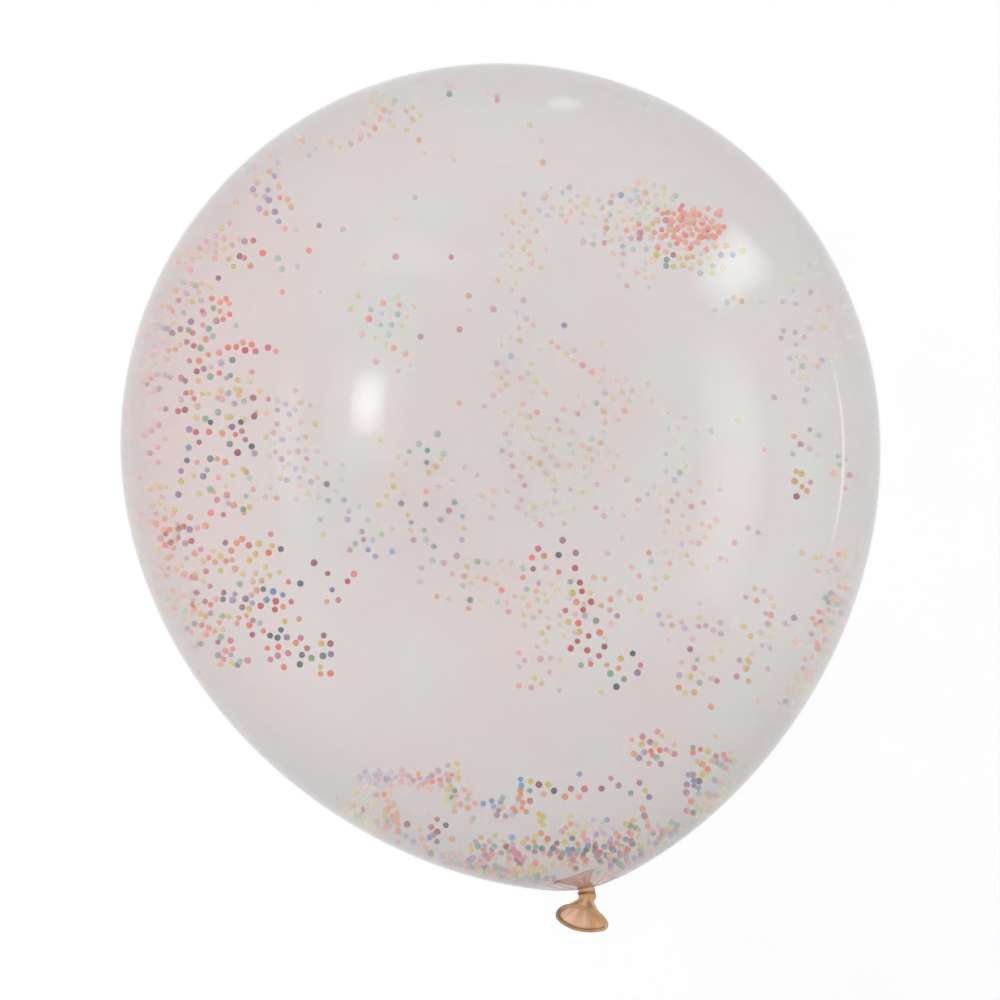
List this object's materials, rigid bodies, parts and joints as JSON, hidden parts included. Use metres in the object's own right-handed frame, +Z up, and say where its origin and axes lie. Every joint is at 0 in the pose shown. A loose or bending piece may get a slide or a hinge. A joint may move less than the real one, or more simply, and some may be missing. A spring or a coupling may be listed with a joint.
{
  "type": "confetti balloon",
  "caption": "Clear round latex balloon, tied off above a short flared tail with a rolled lip and filled with mixed pastel foam beads; a loose party decoration that lies on its side.",
  "frame": {"origin": "on the ground, below the middle of the whole length, with the balloon lying on its flat spot", "axes": "+Z up; +Y along the balloon's long axis towards the crown, so the knot and the tail are at -Y; +X to the right when seen from above with the crown at the top"},
  "size_m": [0.3, 0.3474, 0.297],
  "materials": {
    "clear_latex": "clear stretched latex with a faint milky pink grey tint, glossy",
    "neck_latex": "unstretched natural latex of the knot, tail and lip, amber cream, satin and a little see-through",
    "foam_beads": "matte expanded foam in mixed coral, pink, magenta, crimson, peach, yellow, mint, teal, sky blue and lilac"
  },
  "bodies": {
    "root": {"balloon": "clear_latex"}
  },
  "joints": []
}
